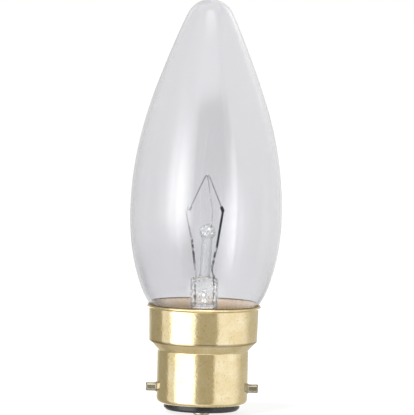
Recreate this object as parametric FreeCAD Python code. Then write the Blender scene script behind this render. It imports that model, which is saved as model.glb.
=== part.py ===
import FreeCAD, Part
import math
import os

# A clear candle lamp on a two-contact bayonet cap. All sizes are millimetres.
# Z runs up the lamp's axis, from the flats of the two contacts to the tip of the glass.
# X runs through the two bayonet pins, and the contacts lie side by side on Y.

Vector = FreeCAD.Vector
up = Vector(0, 0, 1)
diagonal = math.sqrt(0.5)
tolerance = 0.01

# Brass cap, from its lower lip upwards
lip_height = 2.45
lip_diameter = 18.2
lip_round = 1.3
shell_diameter = 21.8
shell_length = 12.8
sheet = 0.3
shoulder_height = 2.2
shoulder_round = 0.8
collar_diameter = 25.9
collar_length = 8.25
collar_taper = 0.2
rim_height = 0.5
rim_flare = 0.6
rim_round = 0.3

# Bayonet pins, riveted through the shell
pin_diameter = 2.2
pin_height = 6.2
pin_reach = 2.5
pin_chamfer = 0.25
pin_foot_diameter = 2.6
pin_foot_height = 0.2
pin_tenon_diameter = 1.8
pin_head_diameter = 3.3
pin_head_thickness = 0.5

# Black glass insulator in the bottom of the cap, with its two contacts
insulator_bottom = 0.9
insulator_face_diameter = 17.2
insulator_bevel = 0.6
insulator_pin_gap = 0.25
contact_pitch = 8.2
plate_diameter = 5.2
plate_thickness = 0.4
plate_seat = 0.15
eyelet_diameter = 2.6
eyelet_bore = 1.8
eyelet_length = 1.6
solder_diameter = 3.8
solder_flat_diameter = 3.0
solder_plug = 1.0

# Blown glass envelope
glass_wall = 0.6
flame_height = 51.15
belly_height = 21.9
belly_diameter = 36.2
tip_round = 5.95
tip_arc_degrees = 64.0
rim_gap = 0.42
neck_diameter = 21.0
neck_length = 2.1
neck_reach = 5.4
seal_round = 1.5
seal_diameter = 17.2
inside_points = 32

# The flame's outline, as shares of the way from the belly to the tip and of the belly's radius
flame_shares = ((0.732, 0.539), (0.507, 0.770), (0.282, 0.929))
# The lower outline, as shares of the way from the belly to the rim and of the narrowing there
belly_shares = ((0.265, 0.050), (0.525, 0.218), (0.721, 0.442), (0.854, 0.650))

# Cement between the glass and the collar
cement_depth = 7.1
cement_top_gap = 0.3

# Glass mount: flare, press, exhaust tube, and the rod with its button
tube_diameter = 6.6
tube_length = 6.6
stem_wall = 0.6
flare_round = 4.4
press_length = 8.2
press_thickness = 3.2
pinch_start = 0.65
pinch_end = 2.2
pinch_lower_round = 0.8
pinch_upper_round = 1.6
press_edge_round = 0.7
exhaust_diameter = 3.0
exhaust_wall = 0.6
exhaust_length = 15.0
exhaust_hole = 1.2
exhaust_hole_depth = 3.2
rod_diameter = 2.6
rod_length = 11.0
button_offset = 0.5
rod_foot = 0.4
button_diameter = 3.8

# Wires: copper below the press, a seal wire in it, nickel-plated iron above it
outer_lead_diameter = 0.4
seal_wire_diameter = 0.36
inner_lead_diameter = 0.55
lead_spacing = 4.4
weld_depth = 0.8

# Each lead's route. Outer leads turn beside the exhaust tube's end and swing over to their contact
outer_lead_turn = 2.5
outer_lead_swing = 1.5
outer_lead_swing_shares = (0.55, 0.65)
outer_lead_entry = 1.2
outer_lead_bends = (1.8, 1.8, 1.2)
lead_end_gap = 0.35
# Bends of the inner leads: distance outwards from the lead's root, and height above the press
left_lead_points = ((0.0, 1.8), (1.1, 9.5))
right_lead_points = ((0.0, 0.6), (-0.5, 2.3), (0.6, 7.6))
left_lead_bends = (1.2, 2.4, 2.4, 0.45)
right_lead_bends = (0.9, 2.4, 2.4)
# The left lead's hook, before and over its jaw
left_hook_points = ((-0.9, -1.0), (-0.85, 0.95))
jaw_width = 0.8
jaw_thickness = 0.7
jaw_length = 1.4
jaw_round = 0.22

# Coiled filament, hung in an inverted V, and the wire that holds its peak
coil_diameter = 0.4
filament_peak_shift = 0.13
filament_peak_rise = 14.4
filament_peak_round = 0.6
left_clamp_reach = 3.75
left_clamp_rise = 5.7
right_clamp_reach = 3.85
right_clamp_rise = 5.5
filament_tail = 0.5
support_diameter = 0.3
support_gap = 0.03
# The support wire's points: distance to the right of the button's centre, and height above it
support_points = ((0.6, 0.7), (0.95, 2.6), (1.05, 5.4))
support_bends = (1.5, 3.0, 2.0)
hook_approach = (0.45, 2.4)
hook_round_share = 0.85

# Places that follow from the sizes above
shoulder_bottom = lip_height + shell_length
collar_bottom = shoulder_bottom + shoulder_height
rim_bottom = collar_bottom + collar_length
rim_top = rim_bottom + rim_height
insulator_top = pin_height - pin_head_diameter / 2 - insulator_pin_gap
belly_z = rim_top + belly_height
tip_z = belly_z + flame_height
neck_top = rim_top - neck_reach
seal_z = neck_top - neck_length - seal_round
press_bottom = seal_z + stem_wall + tube_length
press_top = press_bottom + press_length
button = Vector(button_offset, 0, press_top + rod_length)
filament_peak = Vector(filament_peak_shift, 0, button.z + filament_peak_rise)
left_clamp = Vector(-left_clamp_reach, 0, button.z + left_clamp_rise)
right_clamp = Vector(right_clamp_reach, 0, button.z + right_clamp_rise)
exhaust_end = press_bottom - exhaust_length
plate_bottom = insulator_bottom + plate_seat - plate_thickness


def at(r, z):
    return Vector(r, 0, z)


def rounded_line(points, radii):
    """A wire of straight runs through the points, with a tangent arc at each inner point."""
    edges = []
    start = points[0]
    for i in range(1, len(points) - 1):
        corner = points[i]
        back = (points[i - 1] - corner).normalize()
        ahead = (points[i + 1] - corner).normalize()
        half = back.getAngle(ahead) / 2
        radius = radii[i - 1]
        reach = radius / math.tan(half)
        to_centre = (back + ahead).normalize()
        middle = corner + to_centre * (radius / math.sin(half) - radius)
        first = corner + back * reach
        last = corner + ahead * reach
        edges.append(Part.makeLine(start, first))
        edges.append(Part.Arc(first, middle, last).toShape())
        start = last
    edges.append(Part.makeLine(start, points[-1]))
    return Part.Wire(edges)


def polyline(points):
    return Part.makePolygon(points).Edges


def ends(wire):
    ordered = wire.OrderedVertexes
    return ordered[0].Point, ordered[-1].Point


def turned(edges):
    """One solid, turned about the lamp's axis from a closed outline in the XZ plane."""
    face = Part.Face(Part.Wire(Part.__sortEdges__(edges)))
    return face.revolve(Vector(0, 0, 0), up, 360)


def turned_sheet(line, thickness):
    """A turned wall between an open line and its parallel on the line's left."""
    parallel = line.makeOffset2D(thickness, openResult=True)
    first, last = ends(line)
    near_first, near_last = ends(parallel)
    if (near_first - first).Length > (near_last - first).Length:
        near_first, near_last = near_last, near_first
    closing = [Part.makeLine(first, near_first), Part.makeLine(last, near_last)]
    return turned(line.Edges + parallel.Edges + closing)


def wire_along(points, radii, diameter):
    path = rounded_line(points, radii)
    start = points[0]
    circle = Part.Circle(start, points[1] - start, diameter / 2).toShape()
    return path.makePipeShell([Part.Wire(circle)], True, True)


def bar(radius, bottom, top, x=0, y=0):
    return Part.makeCylinder(radius, top - bottom, Vector(x, y, bottom), up)


# Brass cap

def shell_line():
    radius = shell_diameter / 2
    collar = collar_diameter / 2
    points = [
        at(lip_diameter / 2, lip_height),
        at(radius, lip_height),
        at(radius, shoulder_bottom),
        at(collar, collar_bottom),
        at(collar + collar_taper, rim_bottom),
        at(collar + collar_taper + rim_flare, rim_top),
    ]
    return rounded_line(points, [lip_round, shoulder_round, shoulder_round, rim_round])


def shell_inside():
    """Everything that the cap's sheet encloses, open through the hole in its lip."""
    parallel = shell_line().makeOffset2D(sheet, openResult=True)
    low, high = sorted(ends(parallel), key=lambda place: place.z)
    closing = polyline([low, at(low.x, 0), at(0, 0), at(0, high.z), high])
    return turned(parallel.Edges + closing)


def cap_shell(pins):
    shell = turned_sheet(shell_line(), sheet)
    for pin in pins:
        shell = shell.cut(pin)
    return shell


def bayonet_pin(side):
    """A pin with a spread foot outside the shell, a tenon through it and a riveted head inside."""
    outside = shell_diameter / 2
    inside = outside - sheet
    tip_x = outside + pin_reach
    outwards = Vector(side, 0, 0)
    core = Vector(side * (inside - pin_head_thickness), 0, pin_height)
    surface = Vector(side * outside, 0, pin_height)
    shank = Part.makeCylinder(pin_diameter / 2, tip_x - abs(core.x), core, outwards)
    tip = [edge for edge in shank.Edges if edge.CenterOfMass.x * side > tip_x - tolerance]
    shank = shank.makeChamfer(pin_chamfer, tip)
    spread = Part.makeCone(pin_foot_diameter / 2, pin_diameter / 2, pin_foot_height, surface, outwards)
    foot = Part.makeCylinder(pin_foot_diameter / 2, outside - abs(core.x), core, outwards)
    outer = shank.fuse([spread, foot]).cut(bar(outside, 0, shoulder_bottom))
    tenon = Part.makeCylinder(pin_tenon_diameter / 2, outside - abs(core.x), core, outwards)
    head = Part.makeCylinder(pin_head_diameter / 2, pin_head_thickness, core, outwards)
    head = head.common(bar(inside, 0, shoulder_bottom))
    return outer.fuse([tenon, head]).removeSplitter()


# Insulator and contacts

def contact_plate(side):
    y = side * contact_pitch / 2
    plate_top = plate_bottom + plate_thickness
    plate = bar(plate_diameter / 2, plate_bottom, plate_top, y=y)
    eyelet = bar(eyelet_diameter / 2, plate_top, plate_top + eyelet_length, y=y)
    return plate.fuse(eyelet).removeSplitter()


def bored_plate(side):
    y = side * contact_pitch / 2
    return contact_plate(side).cut(bar(eyelet_bore / 2, 0, insulator_top, y=y))


def contact_solder(side, lead):
    flat = solder_flat_diameter / 2
    edge = solder_diameter / 2
    bulge = at(flat + (edge - flat) * diagonal, plate_bottom * (1 - diagonal))
    outline = [
        Part.makeLine(at(0, 0), at(flat, 0)),
        Part.Arc(at(flat, 0), bulge, at(edge, plate_bottom)).toShape(),
    ]
    outline += polyline([
        at(edge, plate_bottom),
        at(eyelet_bore / 2, plate_bottom),
        at(eyelet_bore / 2, plate_bottom + solder_plug),
        at(0, plate_bottom + solder_plug),
        at(0, 0),
    ])
    dome = turned(outline)
    dome.translate(Vector(0, side * contact_pitch / 2, 0))
    return dome.cut(lead)


def cap_insulator():
    face = insulator_face_diameter / 2
    lip = lip_diameter / 2
    shell = shell_diameter / 2
    outline = polyline([
        at(0, insulator_bottom),
        at(face, insulator_bottom),
        at(lip, insulator_bottom + insulator_bevel),
        at(lip, lip_height + sheet),
        at(shell, lip_height + sheet),
        at(shell, insulator_top),
        at(0, insulator_top),
        at(0, insulator_bottom),
    ])
    insulator = turned(outline).common(shell_inside())
    for side in (-1, 1):
        insulator = insulator.cut(contact_plate(side))
        y = side * contact_pitch / 2
        insulator = insulator.cut(bar(eyelet_bore / 2, 0, insulator_top, y=y))
    return insulator


# Glass envelope and its cement

def flame_curve():
    """The outer outline from the end of the tip's round, over the belly, down to the neck."""
    rest = math.radians(90 - tip_arc_degrees)
    arc_end = at(tip_round * math.cos(rest), tip_z - tip_round * (1 - math.sin(rest)))
    belly = belly_diameter / 2
    rim_radius = collar_diameter / 2 + collar_taper + rim_flare - sheet - rim_gap
    points = [arc_end]
    for rise, share in flame_shares:
        points.append(at(belly * share, belly_z + (tip_z - belly_z) * rise))
    points.append(at(belly, belly_z))
    for drop, narrowing in belly_shares:
        radius = belly - (belly - rim_radius) * narrowing
        points.append(at(radius, belly_z - (belly_z - rim_top) * drop))
    points.append(at(rim_radius, rim_top))
    points.append(at(neck_diameter / 2, neck_top))
    curve = Part.BSplineCurve()
    leaving = at(math.sin(rest), -math.cos(rest))
    curve.interpolate(Points=points, InitialTangent=leaving, FinalTangent=Vector(0, 0, -1))
    return curve


def inset_curve(inset):
    """The flame curve moved inwards along its normals."""
    outer = flame_curve()
    if inset == 0:
        return outer
    first = outer.FirstParameter
    step = (outer.LastParameter - first) / (inside_points - 1)
    points = []
    for i in range(inside_points):
        tangent = outer.tangent(first + step * i)[0]
        inwards = Vector(tangent.z, 0, -tangent.x)
        points.append(outer.value(first + step * i) + inwards * inset)
    inner = Part.BSplineCurve()
    starting = outer.tangent(first)[0]
    inner.interpolate(Points=points, InitialTangent=starting, FinalTangent=Vector(0, 0, -1))
    return inner


def glass_line(inset):
    """The envelope's outline from the tip to the seal, moved inwards by the inset."""
    curve = inset_curve(inset)
    arc_end = curve.StartPoint
    tip = at(0, tip_z - inset)
    half_arc = math.radians(tip_arc_degrees / 2)
    radius = tip_round - inset
    middle = at(radius * math.sin(half_arc), tip_z - tip_round + radius * math.cos(half_arc))
    neck = neck_diameter / 2 - inset
    corner_z = neck_top - neck_length
    centre = at(neck_diameter / 2 - seal_round, corner_z)
    corner_round = seal_round - inset
    slant = corner_round * diagonal
    corner_start = at(neck, corner_z)
    corner_end = at(centre.x, corner_z - corner_round)
    edges = [
        Part.Arc(tip, middle, arc_end).toShape(),
        curve.toShape(),
        Part.makeLine(at(neck, neck_top), corner_start),
        Part.Arc(corner_start, centre + at(slant, -slant), corner_end).toShape(),
        Part.makeLine(corner_end, at(seal_diameter / 2, seal_z + inset)),
    ]
    return edges


def glass_bulb():
    closing = [
        Part.makeLine(at(0, tip_z), at(0, tip_z - glass_wall)),
        Part.makeLine(at(seal_diameter / 2, seal_z), at(seal_diameter / 2, seal_z + glass_wall)),
    ]
    return turned(glass_line(0) + glass_line(glass_wall) + closing)


def glass_outside():
    closing = polyline([at(seal_diameter / 2, seal_z), at(0, seal_z), at(0, tip_z)])
    return turned(glass_line(0) + closing)


def cement_ring():
    top = rim_top - cement_top_gap
    blank = bar(collar_diameter, top - cement_depth, top)
    ring = blank.common(shell_inside()).cut(bar(neck_diameter / 2, 0, tip_z))
    return ring.cut(glass_outside())


# Glass mount

def stem_flare(wires):
    """The flare and its tube, pinched flat at the top round the wires."""
    tube = tube_diameter / 2
    line = rounded_line([
        at(seal_diameter / 2, seal_z + stem_wall),
        at(tube, seal_z + stem_wall),
        at(tube, press_bottom),
    ], [flare_round])
    skirt = turned_sheet(line, stem_wall)
    half = press_thickness / 2
    side = []
    for sign in (-1, 1):
        side.append(rounded_line([
            Vector(0, sign * tube, press_bottom),
            Vector(0, sign * tube, press_bottom + pinch_start),
            Vector(0, sign * half, press_bottom + pinch_end),
            Vector(0, sign * half, press_top),
        ], [pinch_lower_round, pinch_upper_round]))
    bottom = Part.makeLine(Vector(0, -tube, press_bottom), Vector(0, tube, press_bottom))
    top = Part.makeLine(Vector(0, -half, press_top), Vector(0, half, press_top))
    edges = side[0].Edges + side[1].Edges + [bottom, top]
    face = Part.Face(Part.Wire(Part.__sortEdges__(edges)))
    face.translate(Vector(-tube_diameter, 0, 0))
    slab = face.extrude(Vector(2 * tube_diameter, 0, 0))
    press = bar(tube, press_bottom, press_top).common(slab)
    upper = [edge for edge in press.Edges if edge.CenterOfMass.z > press_top - tolerance]
    press = press.makeFillet(press_edge_round, upper)
    stem = skirt.fuse(press).removeSplitter()
    hole_z = press_top - exhaust_hole_depth
    riser = bar(exhaust_hole / 2, press_bottom, hole_z)
    outlet = Part.makeCylinder(exhaust_hole / 2, tube, Vector(0, 0, hole_z), Vector(0, -1, 0))
    knee = Part.makeSphere(exhaust_hole / 2, Vector(0, 0, hole_z))
    stem = stem.cut(riser.fuse([outlet, knee]))
    for wire in wires:
        stem = stem.cut(wire)
    return stem


def exhaust_tube():
    """A glass tube from the press down into the cap, melted shut at its end."""
    outer = exhaust_diameter / 2
    inner = outer - exhaust_wall
    slant = outer * diagonal
    round_top = exhaust_end + outer
    bore_end = exhaust_end + exhaust_diameter
    end_round = Part.Arc(at(outer, round_top), at(slant, round_top - slant), at(0, exhaust_end))
    outline = [Part.makeLine(at(outer, press_bottom), at(outer, round_top)), end_round.toShape()]
    outline += polyline([
        at(0, exhaust_end),
        at(0, bore_end),
        at(inner, bore_end + inner),
        at(inner, press_bottom),
        at(outer, press_bottom),
    ])
    return turned(outline)


def glass_rod(support):
    """The solid rod on the press, ending in the button that holds the support wire."""
    foot = Vector(0, 0, press_top)
    along = button - foot
    rod = Part.makeCylinder(rod_diameter / 2, along.Length, foot, along)
    flare = Part.makeCone(rod_diameter / 2 + rod_foot, rod_diameter / 2, 2 * rod_foot, foot, up)
    ball = Part.makeSphere(button_diameter / 2, button)
    below = bar(tube_diameter, press_bottom, press_top)
    rod = rod.fuse([flare, ball]).cut(below).removeSplitter()
    return rod.cut(support)


# Wires

def outer_lead(side):
    """Copper wire from the press, past the exhaust tube, into the solder of one contact."""
    x = side * lead_spacing / 2
    y = side * contact_pitch / 2
    x_share, y_share = outer_lead_swing_shares
    points = [
        Vector(x, 0, press_bottom + weld_depth),
        Vector(x, 0, exhaust_end + outer_lead_turn),
        Vector(x * x_share, y * y_share, exhaust_end - outer_lead_swing),
        Vector(0, y, insulator_top + outer_lead_entry),
        Vector(0, y, lead_end_gap),
    ]
    return wire_along(points, outer_lead_bends, outer_lead_diameter)


def seal_wire(side):
    x = side * lead_spacing / 2
    return bar(seal_wire_diameter / 2, press_bottom + weld_depth, press_top - weld_depth, x=x)


def jaw(clamp, leg):
    """The lead's flattened end, squeezed over the filament along its leg."""
    block = Part.makeBox(jaw_width, jaw_thickness, jaw_length)
    block = block.makeFillet(jaw_round, block.Edges)
    block.translate(Vector(-jaw_width, -jaw_thickness, -jaw_length) / 2)
    block.rotate(Vector(0, 0, 0), Vector(0, 1, 0), math.degrees(math.atan2(leg.x, leg.z)))
    block.translate(clamp)
    return block


def lead_route(side, bends):
    x = side * lead_spacing / 2
    route = [Vector(x, 0, press_top - weld_depth)]
    for outwards, height in bends:
        route.append(Vector(x + side * outwards, 0, press_top + height))
    return route


def inner_lead_left(filament):
    """Lead that hooks over from outside to meet its jaw."""
    leg = (filament_peak - left_clamp).normalize()
    route = lead_route(-1, left_lead_points)
    for x, z in left_hook_points:
        route.append(left_clamp + Vector(x, 0, z))
    route.append(left_clamp)
    lead = wire_along(route, left_lead_bends, inner_lead_diameter)
    return lead.fuse(jaw(left_clamp, leg)).removeSplitter().cut(filament)


def inner_lead_right(filament):
    """Lead that meets its jaw from below."""
    leg = (filament_peak - right_clamp).normalize()
    route = lead_route(1, right_lead_points) + [right_clamp - leg * (jaw_length / 3)]
    lead = wire_along(route, right_lead_bends, inner_lead_diameter)
    return lead.fuse(jaw(right_clamp, leg)).removeSplitter().cut(filament)


def filament():
    left_end = left_clamp + (left_clamp - filament_peak).normalize() * filament_tail
    right_end = right_clamp + (right_clamp - filament_peak).normalize() * filament_tail
    points = [left_end, filament_peak, right_end]
    return wire_along(points, [filament_peak_round], coil_diameter)


def filament_support():
    """A thin wire from the button, ending in a small hook round the filament's peak."""
    eye = coil_diameter / 2 + support_diameter / 2 + support_gap
    half_peak = (filament_peak - left_clamp).getAngle(filament_peak - right_clamp) / 2
    crown_drop = filament_peak_round / math.sin(half_peak) - filament_peak_round
    crown = filament_peak - up * crown_drop
    hook_side, hook_drop = hook_approach
    points = [button + Vector(x, 0, z) for x, z in support_points]
    points += [
        crown + Vector(hook_side, eye, -hook_drop),
        crown + Vector(0, eye, eye),
        crown + Vector(0, -eye, eye),
        crown + Vector(0, -eye, -eye),
        crown + Vector(0, eye / 2, -eye),
    ]
    hook_round = eye * hook_round_share
    radii = support_bends + (hook_round,) * 3
    return wire_along(points, radii, support_diameter)


coil = filament()
support = filament_support()
outer_leads = [outer_lead(side) for side in (-1, 1)]
seal_wires = [seal_wire(side) for side in (-1, 1)]
inner_leads = [inner_lead_left(coil), inner_lead_right(coil)]
pins = [bayonet_pin(side) for side in (-1, 1)]

nodes = {
    "glass_bulb": glass_bulb(),
    "cement_ring": cement_ring(),
    "stem_flare": stem_flare(outer_leads + seal_wires + inner_leads),
    "exhaust_tube": exhaust_tube(),
    "glass_rod": glass_rod(support),
    "filament": coil,
    "filament_support": support,
    "inner_lead_left": inner_leads[0],
    "inner_lead_right": inner_leads[1],
    "seal_wire_left": seal_wires[0],
    "seal_wire_right": seal_wires[1],
    "outer_lead_left": outer_leads[0],
    "outer_lead_right": outer_leads[1],
    "cap_shell": cap_shell(pins),
    "bayonet_pin_left": pins[0],
    "bayonet_pin_right": pins[1],
    "cap_insulator": cap_insulator(),
    "contact_plate_front": bored_plate(-1),
    "contact_plate_back": bored_plate(1),
    "contact_solder_front": contact_solder(-1, outer_leads[0]),
    "contact_solder_back": contact_solder(1, outer_leads[1]),
}

os.makedirs("parts", exist_ok=True)
for name, shape in nodes.items():
    shape.exportStep("parts/" + name + ".step")
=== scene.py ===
import math
import random

import bpy
import numpy
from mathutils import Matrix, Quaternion, Vector


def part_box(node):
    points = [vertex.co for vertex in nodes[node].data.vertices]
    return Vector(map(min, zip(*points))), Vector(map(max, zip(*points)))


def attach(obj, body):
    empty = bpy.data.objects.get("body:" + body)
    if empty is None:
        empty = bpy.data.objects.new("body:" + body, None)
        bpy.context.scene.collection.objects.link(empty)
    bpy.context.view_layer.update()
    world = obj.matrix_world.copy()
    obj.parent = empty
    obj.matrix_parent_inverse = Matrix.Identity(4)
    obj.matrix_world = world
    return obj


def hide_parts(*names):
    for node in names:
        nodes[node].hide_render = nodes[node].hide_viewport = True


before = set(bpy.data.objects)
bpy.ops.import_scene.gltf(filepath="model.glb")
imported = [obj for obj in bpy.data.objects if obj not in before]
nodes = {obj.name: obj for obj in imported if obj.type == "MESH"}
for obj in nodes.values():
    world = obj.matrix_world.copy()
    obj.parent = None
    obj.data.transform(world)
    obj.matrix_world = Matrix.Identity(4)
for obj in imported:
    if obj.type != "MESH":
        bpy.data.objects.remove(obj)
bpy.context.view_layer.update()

mm = 0.001
degree = math.radians(1)
hair = 0.001 * mm  # places closer together than this count as one


# Camera: a long lens a little above the middle of the lamp, turned slightly about its own axis

cameraView = {
    "distance": 2400 * mm,
    "elevation": 5.3 * degree,
    "roll": 1.34 * degree,
    "aim": Vector((0.2, 0, 49.4)) * mm,
    "frameHeight": 99.02 * mm,
    "sensor": 36.0,
    "clip": (10 * mm, 100.0),
}


def makeCamera(spec):
    back = Vector((0, -math.cos(spec["elevation"]), math.sin(spec["elevation"])))
    bpy.ops.object.camera_add(location=spec["aim"] + back * spec["distance"])
    camera = bpy.context.object
    camera.name = "camera"
    camera.rotation_mode = "QUATERNION"
    level = (-back).to_track_quat("-Z", "Y")
    camera.rotation_quaternion = level @ Quaternion((0, 0, 1), spec["roll"])
    camera.data.sensor_width = spec["sensor"]
    camera.data.lens = spec["sensor"] * spec["distance"] / spec["frameHeight"]
    camera.data.clip_start, camera.data.clip_end = spec["clip"]
    bpy.context.scene.camera = camera


makeCamera(cameraView)
bpy.context.scene.view_settings.view_transform = "Standard"
print("camera ready")


# Small tools

def linearColour(code):
    channels = [int(code[i:i + 2], 16) / 255 for i in (1, 3, 5)]
    linear = [c / 12.92 if c <= 0.04045 else ((c + 0.055) / 1.055) ** 2.4 for c in channels]
    return (*linear, 1)


def newMaterial(name):
    material = bpy.data.materials.new(name)
    material.use_nodes = True
    material.node_tree.nodes.clear()
    return material


def addNode(owner, kind, inputs=None, **settings):
    # inputs gives each input a plain value or another node's output
    tree = owner.node_tree
    node = tree.nodes.new(kind)
    for name, value in settings.items():
        setattr(node, name, value)
    for name, value in (inputs or {}).items():
        if isinstance(value, bpy.types.NodeSocket):
            tree.links.new(value, node.inputs[name])
        else:
            node.inputs[name].default_value = value
    return node


def grey(level):
    return (level, level, level, 1)


def deselectAll():
    if bpy.context.object and bpy.context.object.mode != "OBJECT":
        bpy.ops.object.mode_set(mode="OBJECT")
    bpy.ops.object.select_all(action="DESELECT")


def selectOnly(piece):
    deselectAll()
    piece.select_set(True)
    bpy.context.view_layer.objects.active = piece


def selectVertices(piece, test):
    # picks vertices by their place, and leaves the piece in edit mode
    if piece.mode == "EDIT":
        bpy.ops.object.mode_set(mode="OBJECT")
    mesh = piece.data
    for part in (mesh.polygons, mesh.edges, mesh.vertices):
        part.foreach_set("select", [False] * len(part))
    for vertex in mesh.vertices:
        vertex.select = bool(test(vertex.co))
    bpy.ops.object.mode_set(mode="EDIT")
    bpy.ops.mesh.select_mode(type="VERT")


def settle(piece):
    # puts the place and turn into the mesh, so that the object sits at the origin
    selectOnly(piece)
    bpy.ops.object.transform_apply(location=True, rotation=True, scale=True)


def applyModifier(piece, name, kind, **settings):
    selectOnly(piece)
    modifier = piece.modifiers.new(name, kind)
    for key, value in settings.items():
        setattr(modifier, key, value)
    bpy.ops.object.modifier_apply(modifier=name)


def smoothShade(piece, angle=40):
    selectOnly(piece)
    bpy.ops.object.shade_smooth_by_angle(angle=angle * degree)


def turnedPiece(name, outline, steps=96, closed=True):
    # the outline is drawn as one extruded line in the XZ plane and spun about the Z axis
    deselectAll()
    bpy.ops.mesh.primitive_plane_add(size=mm)
    piece = bpy.context.object
    piece.name = name
    bpy.ops.object.mode_set(mode="EDIT")
    bpy.ops.mesh.select_all(action="SELECT")
    bpy.ops.mesh.merge(type="CENTER")
    bpy.ops.transform.translate(value=outline[0])
    here = outline[0]
    loop = outline[1:] + [outline[0]] if closed else outline[1:]
    for point in loop:
        bpy.ops.mesh.extrude_vertices_move(TRANSFORM_OT_translate={"value": point - here})
        here = point
    bpy.ops.mesh.select_all(action="SELECT")
    bpy.ops.mesh.remove_doubles(threshold=hair)
    bpy.ops.mesh.spin(steps=steps, angle=math.tau, center=(0, 0, 0), axis=(0, 0, 1))
    bpy.ops.mesh.select_all(action="SELECT")
    bpy.ops.mesh.remove_doubles(threshold=hair)
    bpy.ops.mesh.normals_make_consistent(inside=False)
    bpy.ops.object.mode_set(mode="OBJECT")
    return piece


def at(r, z):
    # a point of an outline that is turned about the Z axis
    return Vector((r, 0, z))


def roundedOutline(corners, radii, arcSteps=8):
    # straight runs with a tangent arc at each inner corner
    points = [corners[0]]
    for i, radius in enumerate(radii, start=1):
        corner = corners[i]
        back = (corners[i - 1] - corner).normalized()
        ahead = (corners[i + 1] - corner).normalized()
        half = back.angle(ahead) / 2
        centre = corner + (back + ahead).normalized() * (radius / math.sin(half))
        first = (corner + back * (radius / math.tan(half)) - centre).normalized()
        last = (corner + ahead * (radius / math.tan(half)) - centre).normalized()
        for step in range(arcSteps + 1):
            points.append(centre + first.slerp(last, step / arcSteps) * radius)
    points.append(corners[-1])
    return points


def dividedOutline(points, step):
    # adds points along the long runs
    result = [points[0]]
    for one, two in zip(points, points[1:]):
        parts = max(1, math.ceil((two - one).length / step))
        result += [one.lerp(two, i / parts) for i in range(1, parts + 1)]
    return result


def offsetOutline(points, distance):
    # moves each point to the left of the line's direction
    moved = []
    for i, point in enumerate(points):
        along = points[min(i + 1, len(points) - 1)] - points[max(i - 1, 0)]
        moved.append(point + Vector((-along.z, 0, along.x)).normalized() * distance)
    return moved


def smoothOutline(points, startWay, endWay, steps):
    # a cubic line through the points, with its direction given at both ends
    knots = numpy.array([(p.x, p.z) for p in points])
    spans = numpy.linalg.norm(numpy.diff(knots, axis=0), axis=1)
    count = len(knots)
    matrix = numpy.eye(count)
    right = numpy.zeros((count, 2))
    right[0] = (startWay.x, startWay.z)
    right[-1] = (endWay.x, endWay.z)
    for i in range(1, count - 1):
        before, after = spans[i - 1], spans[i]
        matrix[i, i - 1:i + 2] = (after, 2 * (before + after), before)
        right[i] = 3 * (after * (knots[i] - knots[i - 1]) / before
                        + before * (knots[i + 1] - knots[i]) / after)
    slopes = numpy.linalg.solve(matrix, right)
    line = []
    for i in range(count - 1):
        for step in range(steps):
            t = step / steps
            place = ((2 * t**3 - 3 * t**2 + 1) * knots[i] + (3 * t**2 - 2 * t**3) * knots[i + 1]
                     + (t**3 - 2 * t**2 + t) * spans[i] * slopes[i]
                     + (t**3 - t**2) * spans[i] * slopes[i + 1])
            line.append(at(*place))
    line.append(points[-1])
    return line


def lumpy(piece, size, depth, strengthAt, direction="NORMAL"):
    # pushes the surface in and out by clouds of that size; strengthAt says how much at each place
    group = piece.vertex_groups.new(name="lumps")
    for vertex in piece.data.vertices:
        group.add([vertex.index], strengthAt(vertex.co), "REPLACE")
    clouds = bpy.data.textures.new(piece.name + "Clouds", "CLOUDS")
    clouds.noise_scale = size
    clouds.noise_depth = 1
    applyModifier(piece, "lumps", "DISPLACE", texture=clouds, texture_coords="LOCAL",
                  vertex_group="lumps", strength=depth, mid_level=0.5, direction=direction)
    piece.vertex_groups.clear()


def dress(piece, material, replaced):
    piece.data.materials.clear()
    piece.data.materials.append(material)
    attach(piece, "root")
    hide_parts(*replaced)


def dressNode(name, material):
    slots = nodes[name].data.materials
    for i in range(len(slots)):
        slots[i] = material


# Places that the frame gives

glassLow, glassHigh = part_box("glass_bulb")
tipZ = glassHigh.z
bellyRadius = glassHigh.x
sealZ = glassLow.z
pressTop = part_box("stem_flare")[1].z
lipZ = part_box("cap_shell")[0].z


# Materials: their colours are sRGB hex values

speckSize = 0.55 * mm  # of the small stains on metal


def clearGlass(name, tint, edgeTint, ripple, rippleSize, ior, clearness=1.0):
    # fire-polished glass: its reflections are sharp and bend by ripples of that height and size;
    # clearness is less than one where fine seeds make it milky
    material = newMaterial(name)
    place = addNode(material, "ShaderNodeTexCoord").outputs["Object"]
    waves = addNode(material, "ShaderNodeTexNoise",
                    {"Vector": place, "Scale": 1 / rippleSize, "Detail": 2.0, "Roughness": 0.4})
    bump = addNode(material, "ShaderNodeBump",
                   {"Height": waves.outputs[0], "Distance": ripple, "Strength": 1.0})
    facing = addNode(material, "ShaderNodeLayerWeight", {"Blend": 0.28})
    tone = addNode(material, "ShaderNodeMix", {
        "Factor": facing.outputs["Facing"], "A": linearColour(tint), "B": linearColour(edgeTint)},
        data_type="RGBA")
    glass = addNode(material, "ShaderNodeBsdfPrincipled", {
        "Base Color": tone.outputs["Result"], "Roughness": 0.0, "IOR": ior,
        "Transmission Weight": clearness, "Normal": bump.outputs[0]})
    # it hardly dims the light that reaches what is inside it or behind it
    clear = addNode(material, "ShaderNodeBsdfTransparent", {"Color": grey(0.97)})
    path = addNode(material, "ShaderNodeLightPath")
    surface = addNode(material, "ShaderNodeMixShader", {
        0: path.outputs["Is Shadow Ray"], 1: glass.outputs[0], 2: clear.outputs[0]})
    addNode(material, "ShaderNodeOutputMaterial", {"Surface": surface.outputs[0]})
    return material


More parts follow.
